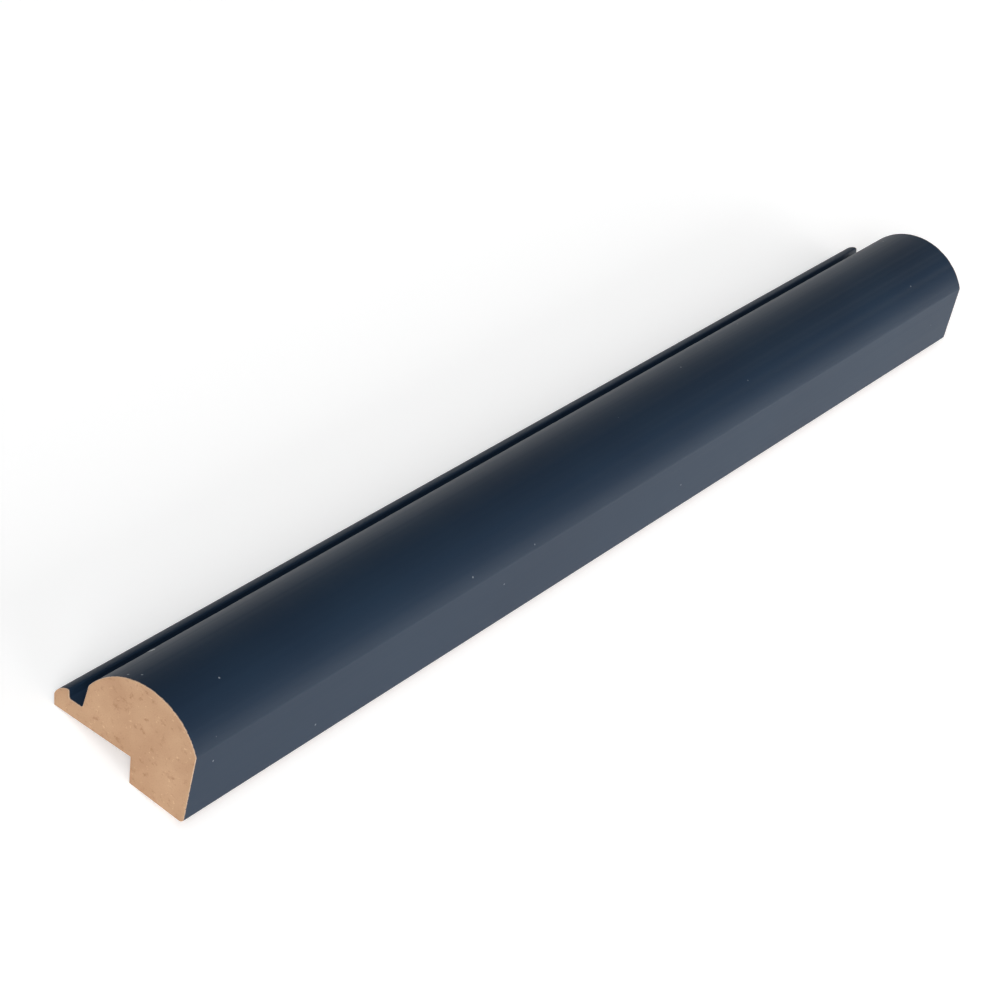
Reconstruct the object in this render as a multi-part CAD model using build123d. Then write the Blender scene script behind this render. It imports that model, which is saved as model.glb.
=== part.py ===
"""Wall panel end cap: a straight length of moulded MDF trim with one constant section.

The section is drawn in its own plane, seen on the cut end. Across is measured from the lower
edge of the lip towards the outer side. Height is measured from the rebate ceiling, the flat
underside of the lip that goes over the edge of a wall panel. A domed rib stands on a foot at
the outer side, and a groove parts the rib from the lip.
"""

import os
from math import atan2, cos, degrees, radians, sin, sqrt, tan

from build123d import *

# Driving dimensions, in millimetres and degrees
length = 300.0

rib_width = 25.7  # across the two shoulders of the dome
rib_centre = 19.5  # from the lip's lower edge to the middle of the rib
crown_height = 16.25  # top of the dome above the rebate ceiling
dome_radius = 14.7
shoulder_round = 0.8  # eases the dome into its two sides
side_draft = 1.8  # the outer side leans in as it rises

rebate_width = 18.7  # from the lip's lower edge to the rebate wall
rebate_depth = 5.5  # from the rebate ceiling down to the heel of the foot
rebate_draft = 10.0  # the rebate wall opens downwards
sole_bevel = 3.4  # the sole falls towards the outer side, which meets the wall first
sole_round = 0.9  # eases the outer side into the sole

lip_edge_height = 2.4
lip_edge_bevel = 12.0  # the lip's edge overhangs its lower corner
lip_peak_across = 2.55
lip_peak_height = 5.1
lip_crown_radius = 3.6
lip_peak_round = 0.35

groove_floor_height = 3.35
groove_draft = 15.0  # lean of the groove's wall on the lip's side
groove_rib_draft = 4.5  # lean of the groove's wall on the rib's side
groove_floor_round = 0.5


def slant(height, angle):
    """Sideways run of a wall of this height that leans by this angle from square."""
    return height * tan(radians(angle))


def section_corners():
    """The corners of the section before they are rounded, by name, as (across, height)."""
    half_width = rib_width / 2
    dome_centre_height = crown_height - dome_radius
    shoulder_height = dome_centre_height + sqrt(dome_radius**2 - half_width**2)
    inner_shoulder = rib_centre - half_width
    outer_shoulder = rib_centre + half_width
    heel_across = rebate_width + slant(rebate_depth, rebate_draft)

    # The outer side comes down from its shoulder until it meets the bevelled sole
    side_run, sole_fall = tan(radians(side_draft)), tan(radians(sole_bevel))
    drop_at_shoulder = rebate_depth + (outer_shoulder - heel_across) * sole_fall
    side_height = (shoulder_height + drop_at_shoulder) / (1 - side_run * sole_fall)

    lip_side_run = slant(lip_peak_height - groove_floor_height, groove_draft)
    rib_side_run = slant(shoulder_height - groove_floor_height, groove_rib_draft)
    return {
        "lip_foot": (0.0, 0.0),
        "lip_edge": (-slant(lip_edge_height, lip_edge_bevel), lip_edge_height),
        "lip_peak": (lip_peak_across, lip_peak_height),
        "groove_lip_side": (lip_peak_across + lip_side_run, groove_floor_height),
        "groove_rib_side": (inner_shoulder - rib_side_run, groove_floor_height),
        "inner_shoulder": (inner_shoulder, shoulder_height),
        "outer_shoulder": (outer_shoulder, shoulder_height),
        "toe": (outer_shoulder + slant(side_height, side_draft), shoulder_height - side_height),
        "heel": (heel_across, -rebate_depth),
        "rebate_corner": (rebate_width, 0.0),
    }


def section_face():
    """The section as one flat face on the XY plane, with its worked corners rounded."""
    corner = section_corners()
    groove = [corner[name] for name in ("lip_peak", "groove_lip_side", "groove_rib_side", "inner_shoulder")]
    foot = [corner[name] for name in ("outer_shoulder", "toe", "heel", "rebate_corner", "lip_foot")]
    outline = [
        Line(corner["lip_foot"], corner["lip_edge"]),
        RadiusArc(corner["lip_edge"], corner["lip_peak"], lip_crown_radius),
        Polyline(*groove),
        ThreePointArc(corner["inner_shoulder"], (rib_centre, crown_height), corner["outer_shoulder"]),
        Polyline(*foot),
    ]
    face = make_face(outline)
    rounds = {
        "lip_peak": lip_peak_round,
        "groove_lip_side": groove_floor_round,
        "groove_rib_side": groove_floor_round,
        "inner_shoulder": shoulder_round,
        "outer_shoulder": shoulder_round,
        "toe": sole_round,
    }
    for name, radius in rounds.items():
        nearest = face.vertices().sort_by_distance(Vector(*corner[name]))[0]
        face = fillet(nearest, radius)
    return face


def end_cap_moulding():
    """The section run out to its length, as it comes to rest: on the lip's lower edge and the heel."""
    heel_across, heel_height = section_corners()["heel"]
    rest_tilt = atan2(-heel_height, heel_across)
    resting_plane = Plane(
        origin=(length / 2, 0, 0),
        x_dir=(0, -cos(rest_tilt), sin(rest_tilt)),
        z_dir=(-1, 0, 0),
    )
    moulding = extrude(resting_plane * section_face(), amount=length)
    box = moulding.bounding_box()
    print("rests tilted by", round(degrees(rest_tilt), 2), "degrees; box", box.size)
    return Pos(-box.center().X, -box.center().Y, -box.min.Z) * moulding


os.makedirs("parts", exist_ok=True)
export_step(end_cap_moulding(), "parts/end_cap_moulding.step")
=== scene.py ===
"""Looks for the wall panel end cap: one length of MDF trim, lacquered navy, bare where it was cut.

The section is drawn again here, finer than the frame's own mesh, from the same sizes. Across is
measured from the lower edge of the lip towards the outer side, and height from the rebate ceiling.
"""

from math import atan2, ceil, cos, pi, radians, sin, sqrt, tan

import bmesh
import bpy
from mathutils import Matrix, Quaternion, Vector, noise


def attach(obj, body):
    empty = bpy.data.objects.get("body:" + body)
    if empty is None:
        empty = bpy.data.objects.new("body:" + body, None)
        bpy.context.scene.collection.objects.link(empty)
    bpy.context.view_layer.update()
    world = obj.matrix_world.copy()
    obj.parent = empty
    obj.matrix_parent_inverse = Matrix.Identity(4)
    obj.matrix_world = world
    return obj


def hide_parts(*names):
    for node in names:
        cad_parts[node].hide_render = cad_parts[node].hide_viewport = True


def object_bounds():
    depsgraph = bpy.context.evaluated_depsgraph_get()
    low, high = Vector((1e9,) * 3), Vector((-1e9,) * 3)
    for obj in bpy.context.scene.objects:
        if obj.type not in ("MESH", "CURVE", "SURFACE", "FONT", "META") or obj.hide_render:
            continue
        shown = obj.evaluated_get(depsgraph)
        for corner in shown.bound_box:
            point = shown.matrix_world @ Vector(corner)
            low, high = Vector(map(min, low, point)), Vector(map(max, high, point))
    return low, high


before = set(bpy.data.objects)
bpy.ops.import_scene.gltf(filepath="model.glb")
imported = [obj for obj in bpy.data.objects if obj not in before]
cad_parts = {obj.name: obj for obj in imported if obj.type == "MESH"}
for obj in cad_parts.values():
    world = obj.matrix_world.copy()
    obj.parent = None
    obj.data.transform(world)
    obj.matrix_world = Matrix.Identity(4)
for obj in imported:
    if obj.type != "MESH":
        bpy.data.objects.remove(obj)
cad_low, cad_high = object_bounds()

MM = 0.001

# The section, in millimetres and degrees
rib_width = 25.7
rib_centre = 19.5
crown_height = 16.235  # a hair under the solid's, whose arcs are cut into coarser steps
dome_radius = 14.7
shoulder_round = 0.8
side_draft = 1.8
rebate_width = 18.7
rebate_depth = 5.5
rebate_draft = 10.0
sole_bevel = 3.4
sole_round = 0.9
lip_edge_height = 2.4
lip_edge_bevel = 12.0
lip_peak_across = 2.55
lip_peak_height = 5.1
lip_crown_radius = 3.6
lip_peak_round = 0.35
groove_floor_height = 3.35
groove_draft = 15.0
groove_rib_draft = 4.5
groove_floor_round = 0.5

# The make of the visible piece and its wear, in millimetres
arc_step = 0.3
arris = 0.1  # the saw leaves the edges of a cut end barely broken
arris_reach = 1.5 * arris  # the points of a broken arris lie nearer than this to the end's plane
end_face_depth = 0.01  # and those nearer than this lie in the end's own face
# Within this rim the bare board's cut edge also gets a pale painted highlight
rim_width = 0.3  # along a cut edge fibres lift and the lacquer chips
nick_depth = 0.16
nick_length = 1.1
overspray_width = 2.5  # lacquer mist that went round onto the bare back
knock_in_section = Vector((8.95, 11.75, -13.9))  # across, height, and 13.9 in from the near end

# Counts, shares and limits of the same
fewest_arc_steps = 6
end_face_corners = 8  # a whole end has more corners than this, a strip of its arris has fewer
nick_start = 0.15  # noise below this leaves the arris whole
# On bare board the edge mark also sets a pale painted highlight
bare_edge_wear_and_glint = 0.3  # beside a lacquered edge's wear of 1
crease_angle = 25.0  # degrees; faces that bend by more than this meet in a clear edge
on_plane = 1e-7  # metres; a point as near as this to a cut is taken to lie on it

# How squarely a face looks one way, as a cosine, when it counts as facing that way
end_facing = 0.9
wall_facing = 0.9
flat_facing = 0.97


def slant(height, angle):
    """Sideways run of a wall of this height that leans by this angle from square."""
    return height * tan(radians(angle))


def section_corners():
    """The corners of the section before they are rounded, by name."""
    half_width = rib_width / 2
    shoulder_height = crown_height - dome_radius + sqrt(dome_radius**2 - half_width**2)
    inner_shoulder = rib_centre - half_width
    outer_shoulder = rib_centre + half_width
    heel_across = rebate_width + slant(rebate_depth, rebate_draft)
    side_run, sole_fall = tan(radians(side_draft)), tan(radians(sole_bevel))
    drop_at_shoulder = rebate_depth + (outer_shoulder - heel_across) * sole_fall
    side_height = (shoulder_height + drop_at_shoulder) / (1 - side_run * sole_fall)
    lip_side_run = slant(lip_peak_height - groove_floor_height, groove_draft)
    rib_side_run = slant(shoulder_height - groove_floor_height, groove_rib_draft)
    corners = {
        "lip_foot": (0, 0),
        "lip_edge": (-slant(lip_edge_height, lip_edge_bevel), lip_edge_height),
        "lip_peak": (lip_peak_across, lip_peak_height),
        "groove_lip_side": (lip_peak_across + lip_side_run, groove_floor_height),
        "groove_rib_side": (inner_shoulder - rib_side_run, groove_floor_height),
        "inner_shoulder": (inner_shoulder, shoulder_height),
        "outer_shoulder": (outer_shoulder, shoulder_height),
        "toe": (outer_shoulder + slant(side_height, side_draft), shoulder_height - side_height),
        "heel": (heel_across, -rebate_depth),
        "rebate_corner": (rebate_width, 0),
    }
    return {name: Vector((across, height, 0)) for name, (across, height) in corners.items()}


corner = section_corners()
dome_centre = Vector((rib_centre, crown_height - dome_radius, 0))
toe_to_heel = (corner["heel"] - corner["toe"]).normalized()
rest_tilt = atan2(-corner["heel"].y, corner["heel"].x)


def crown_centre():
    """Middle of the lip's crown, a circle through the lip's edge and its peak."""
    chord = corner["lip_peak"] - corner["lip_edge"]
    inward = Vector((chord.y, -chord.x, 0)).normalized()
    rise = sqrt(lip_crown_radius**2 - (chord.length / 2) ** 2)
    return (corner["lip_edge"] + corner["lip_peak"]) / 2 + inward * rise


def round_into_circle(at, wall_foot, centre, circle_radius, radius):
    """Eases a straight wall into the circle it runs up to, inside the circle.

    Returns the rounding's middle, where it leaves the wall and where it joins the circle.
    """
    along = (corner[at] - corner[wall_foot]).normalized()
    inward = Vector((along.y, -along.x, 0))
    if inward.dot(centre - corner[at]) < 0:
        inward = -inward
    from_centre = corner[wall_foot] + inward * radius - centre
    reach = circle_radius - radius
    back = along.dot(from_centre)
    travel = sqrt(back**2 - from_centre.length_squared + reach**2) - back
    middle = centre + from_centre + along * travel
    return middle, middle - inward * radius, centre + (middle - centre) * circle_radius / reach


def round_corner(at, before, after, radius):
    """Eases one straight wall into the next. Returns the rounding's middle, start and end."""
    back = (corner[before] - corner[at]).normalized()
    on = (corner[after] - corner[at]).normalized()
    half_angle = back.angle(on) / 2
    run = radius / tan(half_angle)
    middle = corner[at] + (back + on).normalized() * radius / sin(half_angle)
    return middle, corner[at] + back * run, corner[at] + on * run


def line_to(bm, tip, place):
    """Draws a straight wall on from the last point, and returns its end."""
    end = bmesh.ops.extrude_vert_indiv(bm, verts=[tip])["verts"][0]
    end.co = place
    return end


def arc_to(bm, tip, middle, place):
    """Draws an arc on from the last point, round a middle to a place, and returns its end."""
    start, end = tip.co - middle, place - middle
    angle = atan2(start.x * end.y - start.y * end.x, start.dot(end))
    steps = max(fewest_arc_steps, ceil(abs(angle) * start.length / arc_step))
    swept = bmesh.ops.spin(bm, geom=[tip], cent=middle, axis=(0, 0, 1), angle=angle, steps=steps)
    return next(item for item in swept["geom_last"] if isinstance(item, bmesh.types.BMVert))


def draw_section(bm):
    """Draws the section as one closed face, from the lip's foot over lip and rib to the rebate."""
    lip_crown = crown_centre()
    peak_middle, peak_on_wall, peak_on_crown = round_into_circle(
        "lip_peak", "groove_lip_side", lip_crown, lip_crown_radius, lip_peak_round
    )
    inner_middle, inner_on_wall, inner_on_dome = round_into_circle(
        "inner_shoulder", "groove_rib_side", dome_centre, dome_radius, shoulder_round
    )
    outer_middle, outer_on_wall, outer_on_dome = round_into_circle(
        "outer_shoulder", "toe", dome_centre, dome_radius, shoulder_round
    )
    groove_rounds = (
        round_corner("groove_lip_side", "lip_peak", "groove_rib_side", groove_floor_round),
        round_corner("groove_rib_side", "groove_lip_side", "inner_shoulder", groove_floor_round),
    )
    toe_middle, toe_start, toe_end = round_corner("toe", "outer_shoulder", "heel", sole_round)

    first = bm.verts.new(corner["lip_foot"])
    tip = line_to(bm, first, corner["lip_edge"])
    tip = arc_to(bm, tip, lip_crown, peak_on_crown)
    tip = arc_to(bm, tip, peak_middle, peak_on_wall)
    for middle, start, end in groove_rounds:
        tip = line_to(bm, tip, start)
        tip = arc_to(bm, tip, middle, end)
    tip = line_to(bm, tip, inner_on_wall)
    tip = arc_to(bm, tip, inner_middle, inner_on_dome)
    tip = arc_to(bm, tip, dome_centre, outer_on_dome)
    tip = arc_to(bm, tip, outer_middle, outer_on_wall)
    tip = line_to(bm, tip, toe_start)
    tip = arc_to(bm, tip, toe_middle, toe_end)
    tip = line_to(bm, tip, corner["heel"])
    tip = line_to(bm, tip, corner["rebate_corner"])
    bmesh.ops.contextual_create(bm, geom=[tip, first])
    bmesh.ops.contextual_create(bm, geom=bm.edges[:])


def resting_place():
    """Turns section millimetres into the frame: at the near end, tipped on lip and heel."""
    turn = Matrix(
        (
            (0, 0, -1, 0),
            (-cos(rest_tilt), sin(rest_tilt), 0, 0),
            (sin(rest_tilt), cos(rest_tilt), 0, 0),
            (0, 0, 0, 1),
        )
    )
    lip_edge_y = (turn @ corner["lip_edge"]).y * MM
    start = Matrix.Translation((cad_low.x, cad_high.y - lip_edge_y, 0))
    return start @ turn @ Matrix.Scale(MM, 4)


placed = resting_place()
into_section = placed.inverted()
whole_length = cad_high.x - cad_low.x
knock_place = placed @ knock_in_section

LACQUER, SAWN, MILLED = 0, 1, 2


def height_of(face):
    """Height of a face's middle in the section."""
    return (into_section @ face.calc_center_median()).y


def finish_of(face):
    """Which finish a face has: sawn on the ends, milled on the rebate and the sole, else lacquer."""
    if abs(face.normal.x) > end_facing:
        return SAWN
    facing = (into_section.to_3x3() @ face.normal).normalized()
    is_flat_of_back = facing.y < -flat_facing
    is_rebate_wall = facing.x < -wall_facing and height_of(face) < 0
    return MILLED if is_flat_of_back or is_rebate_wall else LACQUER


def faces_with(bm, finish):
    """All faces that have this finish."""
    return [face for face in bm.faces if finish_of(face) == finish]


def edges_of(faces):
    """Each edge of these faces once."""
    return list(dict.fromkeys(edge for face in faces for edge in face.edges))


def cut_through(bm, faces, at, along):
    """Cuts faces in two with a plane through a point, square to a direction."""
    verts = list(dict.fromkeys(vert for face in faces for vert in face.verts))
    geom = verts + edges_of(faces) + faces
    bmesh.ops.bisect_plane(bm, geom=geom, dist=on_plane, plane_co=at, plane_no=along)


def run_out(bm):
    """Runs the drawn section out to its length, from the near end to the far one."""
    bmesh.ops.transform(bm, matrix=placed, verts=bm.verts[:])
    run = bmesh.ops.extrude_face_region(bm, geom=bm.faces[:])
    far_verts = [item for item in run["geom"] if isinstance(item, bmesh.types.BMVert)]
    bmesh.ops.translate(bm, verts=far_verts, vec=(whole_length, 0, 0))
    bmesh.ops.recalc_face_normals(bm, faces=bm.faces[:])


def break_arrises(bm):
    """Breaks the edges of the cut ends, and parts off a rim on either side of them for their wear."""
    bmesh.ops.bevel(
        bm, geom=edges_of(faces_with(bm, SAWN)), offset=arris * MM, offset_type="OFFSET",
        affect="EDGES", segments=2, profile=0.5, material=-1,
    )
    rim_x = cad_high.x - (arris + rim_width) * MM
    for x in (rim_x, -rim_x):
        cut_through(bm, bm.faces[:], Vector((x, 0, 0)), Vector((1, 0, 0)))
    ends = [face for face in faces_with(bm, SAWN) if len(face.verts) > end_face_corners]
    bmesh.ops.inset_region(bm, faces=ends, thickness=rim_width * MM, use_even_offset=True)


def part_off_overspray(bm):
    """Cuts the bare back where the lacquer mist from the toe and from the lip's edge ends."""
    back = faces_with(bm, MILLED)
    soles = [face for face in back if height_of(face) < -rebate_depth]
    ceilings = [face for face in back if abs(height_of(face)) < arris]
    sole_cut = corner["toe"] + toe_to_heel * (sole_round + overspray_width)
    lip_cut = Vector((overspray_width, 0, 0))
    into_frame = placed.to_3x3()
    cut_through(bm, soles, placed @ sole_cut, into_frame @ toe_to_heel)
    cut_through(bm, ceilings, placed @ lip_cut, into_frame @ Vector((1, 0, 0)))


def wear(bm):
    """Nicks the arrises of the cut ends, and marks how worn each point is (on bare board also where a
    highlight is painted) and where mist lies.
    """
    cut_edge = bm.verts.layers.float.new("cut_edge")
    overspray = bm.verts.layers.float.new("overspray")
    for vert in bm.verts:
        from_end = (cad_high.x - abs(vert.co.x)) / MM
        place = into_section @ vert.co
        finishes = {finish_of(face) for face in vert.link_faces}
        on_outline = len(finishes) > 1 or from_end > end_face_depth
        if from_end < arris_reach and on_outline:
            vert[cut_edge] = 1 if LACQUER in finishes else bare_edge_wear_and_glint
            bite = noise.noise(vert.co / (nick_length * MM)) - nick_start
            outward = Vector((0, vert.normal.y, vert.normal.z)).normalized()
            vert.co -= outward * max(0, bite) * nick_depth * MM
        near_toe = (place - corner["toe"]).dot(toe_to_heel) < overspray_width / 2
        near_lip = place.x < overspray_width / 2
        at_back = MILLED in finishes and from_end > arris / 2
        vert[overspray] = at_back and (near_toe or near_lip)


def make_moulding():
    """The visible length of trim, with its cut ends, broken arrises and nicked lacquer."""
    bm = bmesh.new()
    draw_section(bm)
    run_out(bm)
    break_arrises(bm)
    part_off_overspray(bm)
    wear(bm)
    for face in bm.faces:
        face.material_index = finish_of(face)
        face.smooth = True
    return bm


def new_piece(name, bm):
    """A new object at the origin that takes over a finished mesh."""
    mesh = bpy.data.meshes.new(name)
    bm.to_mesh(mesh)
    bm.free()
    mesh.set_sharp_from_angle(angle=radians(crease_angle))
    made = bpy.data.objects.new(name, mesh)
    bpy.context.scene.collection.objects.link(made)
    return made


def to_linear(colour):
    """An sRGB hex colour such as #c39d7e as linear red, green, blue and alpha."""
    parts = [int(colour[i : i + 2], 16) / 255 for i in (1, 3, 5)]
    return [p / 12.92 if p <= 0.04045 else ((p + 0.055) / 1.055) ** 2.4 for p in parts] + [1.0]


def per(size_mm):
    """Texture scale that gives a pattern features of about this size."""
    return 1 / (size_mm * MM)


def feed(node, inputs):
    """Links an input whose value is another node's output, and sets any other."""
    for name, value in inputs.items():
        if isinstance(value, bpy.types.NodeSocket):
            node.id_data.links.new(value, node.inputs[name])
        else:
            node.inputs[name].default_value = value


def add(tree, kind, inputs, output=0, **settings):
    """Adds one node with its settings and its inputs, and returns one of its outputs."""
    node = tree.nodes.new("ShaderNode" + kind)
    for name, value in settings.items():
        setattr(node, name, value)
    feed(node, inputs)
    return node.outputs[output]


def new_material(name):
    """A new material, its nodes and its surface shader."""
    material = bpy.data.materials.new(name)
    material.use_nodes = True
    return material, material.node_tree, material.node_tree.nodes["Principled BSDF"]


def satin_navy_lacquer():
    """Satin lacquer, sprayed on moulded board: dark navy, a soft sheen, cutter's lines just showing."""
    material, tree, surface = new_material("satin_navy_lacquer")
    place = add(tree, "TexCoord", {}, "Object")
    # Cutter lines lie half a millimetre apart and run on for many centimetres
    drawn_out = add(tree, "Mapping", {"Vector": place, "Scale": (0.006, 1, 1)})
    lines = add(tree, "TexNoise", {"Vector": drawn_out, "Scale": per(0.5), "Detail": 2})
    line_range = {"From Min": 0.4, "From Max": 0.75, "To Max": 0.08}
    line_shade = add(tree, "MapRange", {"Value": lines, **line_range})
    # The colour drifts a little over a few centimetres
    cloud = add(tree, "TexNoise", {"Vector": place, "Scale": per(35), "Detail": 2})
    cloud_shade = add(tree, "MapRange", {"Value": cloud, "From Min": 0.3, "From Max": 0.7})
    # Spraying leaves a faint orange peel, just under a millimetre wide
    peel = add(tree, "TexNoise", {"Vector": place, "Scale": per(0.9), "Detail": 1})
    # Dust nibs, half a millimetre wide at the foot, about two to every ten square centimetres.
    # The pattern is moved a little, which chooses where they fall.
    nib_spacing = 6.5
    nib_foot = 0.26 / nib_spacing
    nib_top = 0.143 / nib_spacing
    moved = add(tree, "Mapping", {"Vector": place, "Location": (2 * MM, 1 * MM, 3 * MM)})
    dust = add(tree, "TexVoronoi", {"Vector": moved, "Scale": per(nib_spacing)}, "Distance")
    nib = add(tree, "MapRange", {"Value": dust, "From Min": nib_foot, "From Max": nib_top})
    nib_shade = add(tree, "Math", {0: nib, 1: 0.45}, operation="MULTIPLY")
    # Along a cut edge the coat has flaked in spots of about half a millimetre
    fray = add(tree, "TexNoise", {"Vector": place, "Scale": per(0.5), "Detail": 3})
    edge = add(tree, "Attribute", {}, "Fac", attribute_name="cut_edge")
    flaked = add(tree, "Math", {0: edge, 1: fray}, operation="MULTIPLY")
    flaked_range = {"From Min": 0.27, "From Max": 0.42, "To Max": 0.8}
    flaked_shade = add(tree, "MapRange", {"Value": flaked, **flaked_range})

    # One knock near the inner shoulder, about two millimetres across and half as long, has gone
    # through to the primer. Its rim is ragged.
    knock_middle = {"Location": knock_place, "Scale": (0.5, 1, 1)}
    centred = add(tree, "Mapping", {"Vector": place, **knock_middle}, vector_type="TEXTURE")
    reach = add(tree, "VectorMath", {0: centred}, "Value", operation="LENGTH")
    ragged = add(tree, "Math", {0: fray, 1: 0.8 * MM, 2: reach}, operation="MULTIPLY_ADD")
    knock_range = {"From Min": 1.5 * MM, "From Max": 1.3 * MM, "To Max": 0.9}
    knock = add(tree, "MapRange", {"Value": ragged, **knock_range})

    navy = {6: to_linear("#18293c"), 7: to_linear("#1b2d40")}
    colour = add(tree, "Mix", {0: cloud_shade, **navy}, 2, data_type="RGBA")
    layers = (
        (line_shade, "#2a3c4f"),
        (nib_shade, "#a9b0b8"),
        (flaked_shade, "#b79a80"),
        (knock, "#d3d6d8"),
    )
    for amount, tint in layers:
        colour = add(tree, "Mix", {0: amount, 6: colour, 7: to_linear(tint)}, 2, data_type="RGBA")
    sheen_range = {"From Min": 0.3, "From Max": 0.7, "To Min": 0.525, "To Max": 0.555}
    sheen = add(tree, "MapRange", {"Value": lines, **sheen_range})
    skin = add(tree, "Bump", {"Strength": 1.0, "Distance": 0.003 * MM, "Height": peel})
    skin = add(
        tree, "Bump", {"Strength": 1.0, "Distance": 0.002 * MM, "Height": lines, "Normal": skin}
    )
    skin = add(
        tree, "Bump", {"Strength": 0.6, "Distance": 0.05 * MM, "Height": nib, "Normal": skin}
    )
    feed(surface, {"Base Color": colour, "Roughness": sheen, "Normal": skin})
    feed(surface, {"IOR": 1.45, "Specular IOR Level": 0.3})
    return material


def bare_mdf(name, stretch, pale, dark, nap_mm):
    """Medium density fibreboard cut open: a matt tan felt of wood fibre, with darker and paler bundles.

    The board's layers are drawn out by stretch, a share of full fineness along x, y and z.
    """
    material, tree, surface = new_material(name)
    place = add(tree, "TexCoord", {}, "Object")
    # Turned back by the rest tilt, so that the board's layers lie level in the pattern
    level = add(tree, "Mapping", {"Vector": place, "Rotation": (rest_tilt, 0, 0)})
    layered = add(tree, "Mapping", {"Vector": level, "Scale": stretch})
    # Moved far off, so that the flakes don't follow the bundles
    shifted = add(tree, "Mapping", {"Vector": layered, "Location": (0.7, 0.3, 0.5)})
    # Bundles of fibre about a millimetre wide, and paler flakes half as wide
    bundle_grain = {"Scale": per(1.3), "Detail": 4, "Roughness": 0.65}
    bundles = add(tree, "TexNoise", {"Vector": layered, **bundle_grain})
    bundle_range = {"From Min": 0.57, "From Max": 0.7, "To Max": 0.6}
    dark_bundle = add(tree, "MapRange", {"Value": bundles, **bundle_range})
    flakes = add(tree, "TexNoise", {"Vector": shifted, "Scale": per(0.6), "Detail": 2})
    flake_range = {"From Min": 0.65, "From Max": 0.78, "To Max": 0.5}
    pale_flake = add(tree, "MapRange", {"Value": flakes, **flake_range})
    # Single fibres are a few hundredths of a millimetre thick, drawn at a quarter of a millimetre
    # so that they show
    fibres = add(tree, "TexNoise", {"Vector": layered, "Scale": per(0.25), "Detail": 2})
    fibre_range = {"From Min": 0.5, "From Max": 0.75, "To Max": 0.2}
    fibre_shade = add(tree, "MapRange", {"Value": fibres, **fibre_range})
    # The board's colour drifts from pale to dark within a few millimetres
    mottle = add(tree, "TexNoise", {"Vector": place, "Scale": per(7), "Detail": 2})
    mottle_shade = add(tree, "MapRange", {"Value": mottle, "From Min": 0.35, "From Max": 0.65})
    # Along a cut edge a pale colour is painted: torn-up fibres, and a painted highlight where they
    # catch the light
    edge = add(tree, "Attribute", {}, "Fac", attribute_name="cut_edge")
    torn_and_glint = add(tree, "Math", {0: edge, 1: bundles}, operation="MULTIPLY")
    torn_and_glint_range = {"From Min": 0.15, "From Max": 0.35, "To Max": 0.75}
    torn_and_glint_shade = add(tree, "MapRange", {"Value": torn_and_glint, **torn_and_glint_range})
    # Lacquer mist that went round the edge onto the bare back
    mist = add(tree, "Attribute", {}, "Fac", attribute_name="overspray")
    specked = add(tree, "Math", {0: mist, 1: flakes}, operation="MULTIPLY")
    mist_range = {"From Min": 0.15, "From Max": 0.55, "To Max": 0.85}
    mist_shade = add(tree, "MapRange", {"Value": specked, **mist_range})

    tan_board = {6: to_linear(dark), 7: to_linear(pale)}
    colour = add(tree, "Mix", {0: mottle_shade, **tan_board}, 2, data_type="RGBA")
    layers = (
        (dark_bundle, "#93694a"),
        (pale_flake, "#e2c19d"),
        (fibre_shade, "#8d6647"),
        # pale torn fibres together with a painted highlight
        (torn_and_glint_shade, "#ead8c4"),
        (mist_shade, "#26384b"),
    )
    for amount, tint in layers:
        colour = add(tree, "Mix", {0: amount, 6: colour, 7: to_linear(tint)}, 2, data_type="RGBA")
    felt = {"Strength": 0.7, "Distance": nap_mm * MM}
    nap = add(tree, "Bump", {**felt, "Height": fibres})
    nap = add(tree, "Bump", {**felt, "Height": bundles, "Normal": nap})
    feed(surface, {"Base Color": colour, "Roughness": 0.9, "IOR": 1.45, "Normal": nap})
    return material


moulding = new_piece("moulding", make_moulding())
moulding.data.materials.append(satin_navy_lacquer())
moulding.data.materials.append(bare_mdf("sawn_mdf", (0.5, 0.8, 1), "#bc9878", "#b28d6e", 0.06))
moulding.data.materials.append(bare_mdf("milled_mdf", (0.3, 0.6, 1), "#bd9677", "#b18a6b", 0.02))
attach(moulding, "root")
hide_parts("end_cap_moulding")

# The stage, in metres
floor_radius = 4.0
floor_segments = 96
rim_height = 0.3
floor_lift = 0.32  # the floor's own share of its white, for the eye and for reflections
room_glow = 0.03  # the room above the stage is dim, so the top of the rib mirrors little


def matt_paper(name, colour, lift):
    """Matt paper: the colour that it scatters, and a white lift for the eye and for reflections."""
    material, tree, surface = new_material(name)
    seen = add(tree, "LightPath", {}, "Is Camera Ray")
    for kind in ("Is Glossy Ray", "Is Transmission Ray"):
        ray = add(tree, "LightPath", {}, kind)
        seen = add(tree, "Math", {0: seen, 1: ray}, operation="MAXIMUM")
    strength = add(tree, "Math", {0: seen, 1: lift}, operation="MULTIPLY")
    feed(surface, {"Base Color": to_linear(colour), "Roughness": 1.0, "Specular IOR Level": 0.0})
    feed(surface, {"Emission Color": to_linear("#ffffff"), "Emission Strength": strength})
    return material


floor_mesh = bmesh.new()
bmesh.ops.create_circle(floor_mesh, cap_ends=True, segments=floor_segments, radius=floor_radius)
floor = new_piece("floor", floor_mesh)
floor.data.materials.append(matt_paper("floor_paper", "#eeeeee", floor_lift))

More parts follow.
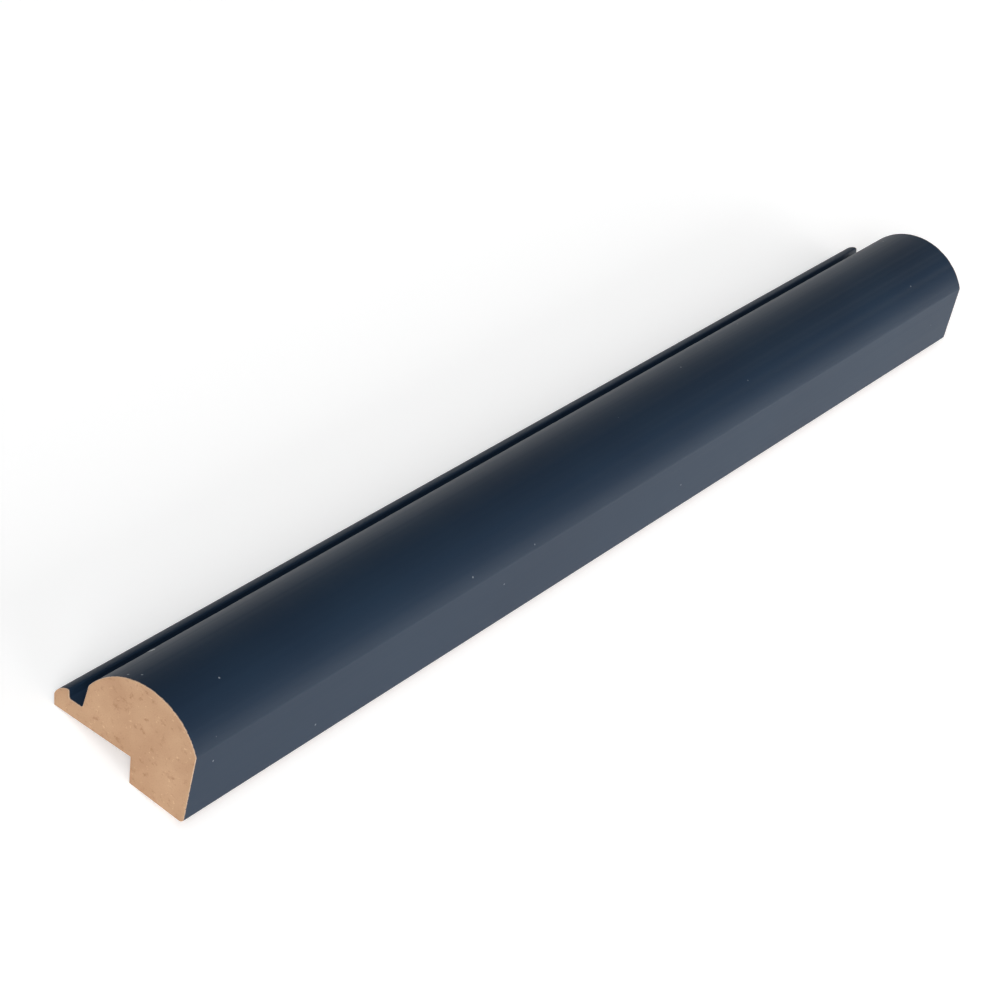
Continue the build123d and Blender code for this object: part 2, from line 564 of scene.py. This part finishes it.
# A low rim round the floor, white to the eye in low views and in reflections. It casts no shadow
# and gives matt surfaces no light.
rim_mesh = bmesh.new()
bmesh.ops.create_circle(rim_mesh, segments=floor_segments, radius=floor_radius)
risen = bmesh.ops.extrude_edge_only(rim_mesh, edges=rim_mesh.edges[:])["geom"]
top = [item for item in risen if isinstance(item, bmesh.types.BMVert)]
bmesh.ops.translate(rim_mesh, verts=top, vec=(0, 0, rim_height))
rim = new_piece("backdrop", rim_mesh)
rim.data.materials.append(matt_paper("backdrop_paper", "#000000", 1.0))
rim.visible_shadow = False
rim.visible_diffuse = False


def new_lamp(name, light, towards):
    """Hangs a lamp that shines from the given direction onto the moulding."""
    lamp = bpy.data.objects.new(name, light)
    lamp.rotation_mode = "QUATERNION"
    lamp.rotation_quaternion = towards.to_track_quat("Z", "Y")
    bpy.context.scene.collection.objects.link(lamp)
    return lamp


# Soft lamps: where each stands, seen from the moulding, what a white surface facing it shows, and
# its spread in degrees
suns = {
    "key": (Vector((-0.80, -0.32, 0.51)), 0.78, 40),
    "overhead": (Vector((-0.35, 0.15, 0.92)), 0.30, 60),
}
for name, (towards, level, spread) in suns.items():
    sun = bpy.data.lights.new(name, "SUN")
    sun.energy = level * pi
    sun.angle = radians(spread)
    new_lamp(name, sun, towards)

# Long low lamp boxes: length, height and what they show the mirroring coat, where each stands, and
# which way it lies from the moulding. One runs along the outer side, and a dim one stands past the
# far end.
lamp_boxes = {
    "outer_box": (3.0, 0.6, 2.9, (0.9, -1.0, 0.3), Vector((0, -1, 0))),
    "far_box": (1.6, 0.5, 0.5, (1.5, 0.35, 0.25), Vector((1, 0, 0))),
}
for name, (length, height, level, place, towards) in lamp_boxes.items():
    lamp_box = bpy.data.lights.new(name, "AREA")
    lamp_box.shape = "RECTANGLE"
    lamp_box.size = length
    lamp_box.size_y = height
    lamp_box.energy = level * pi * length * height
    stand = new_lamp(name, lamp_box, towards)
    stand.location = place
    stand.visible_camera = False

world = bpy.data.worlds.new("dim_room")
world.use_nodes = True
feed(world.node_tree.nodes["Background"], {"Color": to_linear("#ffffff"), "Strength": room_glow})
bpy.context.scene.world = world
bpy.context.scene.view_settings.view_transform = "Standard"

# The camera, placed in millimetres: before the near end, above it and turned about its own axis
camera_eye = Vector((-512.81, -140.65, 402.25)) * MM
camera_aim = Vector((-29.735, 2.924, 10.0)) * MM
camera_roll = radians(33.903)
camera_lens = 109.80  # millimetres
camera_film = 36.0  # millimetres wide
camera_nearest = 0.01  # metres

camera_data = bpy.data.cameras.new("camera")
camera_data.sensor_width = camera_film
camera_data.lens = camera_lens
camera_data.clip_start = camera_nearest
camera = bpy.data.objects.new("camera", camera_data)
camera.location = camera_eye
camera.rotation_mode = "QUATERNION"
level_look = (camera_aim - camera_eye).to_track_quat("-Z", "Y")
camera.rotation_quaternion = level_look @ Quaternion((0, 0, 1), camera_roll)
bpy.context.scene.collection.objects.link(camera)
bpy.context.scene.camera = camera
